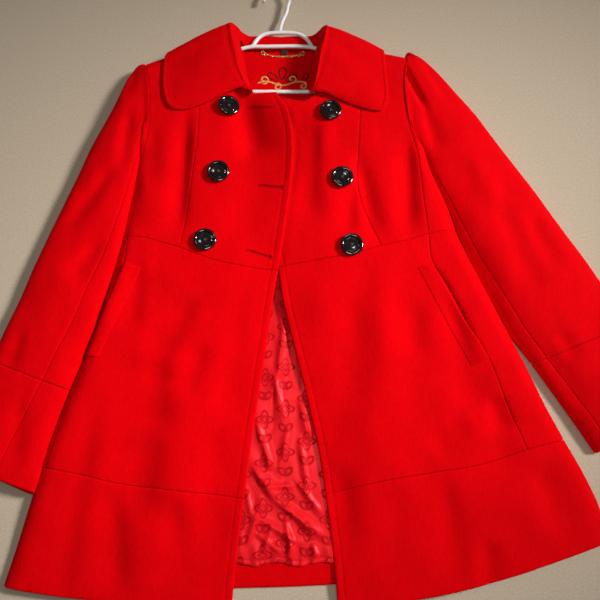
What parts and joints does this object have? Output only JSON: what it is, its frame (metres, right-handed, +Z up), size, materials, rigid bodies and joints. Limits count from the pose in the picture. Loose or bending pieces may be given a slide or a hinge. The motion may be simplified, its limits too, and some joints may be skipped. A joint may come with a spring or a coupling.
{
  "type": "pea coat on a hanger",
  "caption": "Double-breasted swing coat of wool cloth laid flat on its back, open over a satin lining, with a wide collar, slanted pockets and a tubular hanger inside the neck.",
  "frame": {"origin": "middle of the part's box on the surface that the coat lies on", "axes": "+Z up from the surface, +X to the right across the coat as it is looked at, +Y towards the collar and the hanger's hook"},
  "size_m": [1.055, 0.9659, 0.052],
  "materials": {
    "wool_cloth": "fulled wool coating with a short soft nap",
    "lining_satin": "satin with a woven pattern",
    "button_resin": "polished",
    "hanger_plastic": "smooth moulded",
    "chain_brass": "polished",
    "tab_tape": "woven tape"
  },
  "bodies": {
    "root": {"back_bodice": "wool_cloth", "back_skirt": "wool_cloth", "back_hem_band": "wool_cloth", "back_neck_facing": "wool_cloth", "hem_facing": "wool_cloth", "lining": "lining_satin", "bodice_front_left": "wool_cloth", "bodice_side_left": "wool_cloth", "bodice_underarm_left": "wool_cloth", "skirt_front_left": "wool_cloth", "skirt_side_left": "wool_cloth", "hem_band_left": "wool_cloth", "top_sleeve_left": "wool_cloth", "under_sleeve_left": "wool_cloth", "cuff_left": "wool_cloth", "pocket_welt_left": "wool_cloth", "button_left_1": "button_resin", "button_left_2": "button_resin", "button_left_3": "button_resin", "bodice_front_right": "wool_cloth", "bodice_side_right": "wool_cloth", "bodice_underarm_right": "wool_cloth", "skirt_front_right": "wool_cloth", "skirt_side_right": "wool_cloth", "hem_band_right": "wool_cloth", "top_sleeve_right": "wool_cloth", "under_sleeve_right": "wool_cloth", "cuff_right": "wool_cloth", "pocket_welt_right": "wool_cloth", "button_right_1": "button_resin", "button_right_2": "button_resin", "button_right_3": "button_resin", "collar": "wool_cloth", "hanger": "hanger_plastic", "hanging_chain": "chain_brass", "hanging_tab": "tab_tape"}
  },
  "joints": []
}
